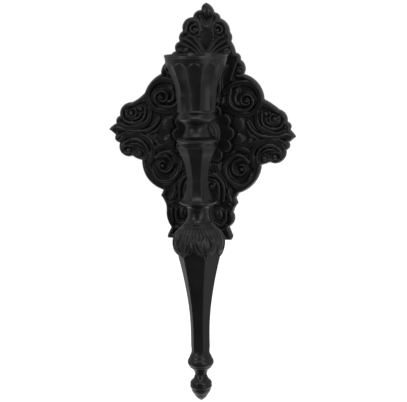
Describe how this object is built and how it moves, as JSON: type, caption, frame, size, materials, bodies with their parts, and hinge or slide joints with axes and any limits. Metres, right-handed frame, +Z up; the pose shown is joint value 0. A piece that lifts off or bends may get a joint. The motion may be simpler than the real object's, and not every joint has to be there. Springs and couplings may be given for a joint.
{
  "type": "wall sconce candle holder",
  "caption": "Cast rococo wall plate with a torch-shaped holder for one taper candle on a short arm in front of it.",
  "frame": {"origin": "on the wall, at the axis of the arm, which is the centre of the plate's rosette", "axes": "+Z up, +X to the right as seen from the room, +Y into the wall, so the torch stands off towards -Y"},
  "size_m": [0.23, 0.097, 0.4752],
  "materials": {
    "black_enamel": "satin",
    "zinc_steel": "satin",
    "aged_brass": "satin"
  },
  "bodies": {
    "wall_plate": {"backplate": "black_enamel", "hanger_strip": "zinc_steel", "hanger_screws": "zinc_steel", "arm_sleeve": "black_enamel", "arm_washer": "zinc_steel"},
    "torch": {"arm_bolt": "zinc_steel", "lock_washer": "zinc_steel", "fluted_cup": "black_enamel", "collar_ring": "black_enamel", "neck_spool": "black_enamel", "baluster": "black_enamel", "lower_neck": "black_enamel", "leaf_bulb": "black_enamel", "hex_shaft": "black_enamel", "finial_collar": "black_enamel", "finial": "black_enamel", "tie_rod": "zinc_steel", "rod_washer": "zinc_steel", "rod_nut": "zinc_steel"},
    "candle_insert": {"drip_pan": "aged_brass", "candle_socket": "aged_brass", "socket_rivet": "aged_brass"}
  },
  "joints": [
    {"name": "torch_turn", "type": "hinge", "parent": "wall_plate", "child": "torch", "pos_m": [0, -0.036, 0], "axis": [0, 1, 0], "range_deg": [-7.5, 12.5]},
    {"name": "insert_lift", "type": "slide", "parent": "torch", "child": "candle_insert", "axis": [-0.0436, 0, 0.999], "range_m": [0, 0.06]}
  ]
}
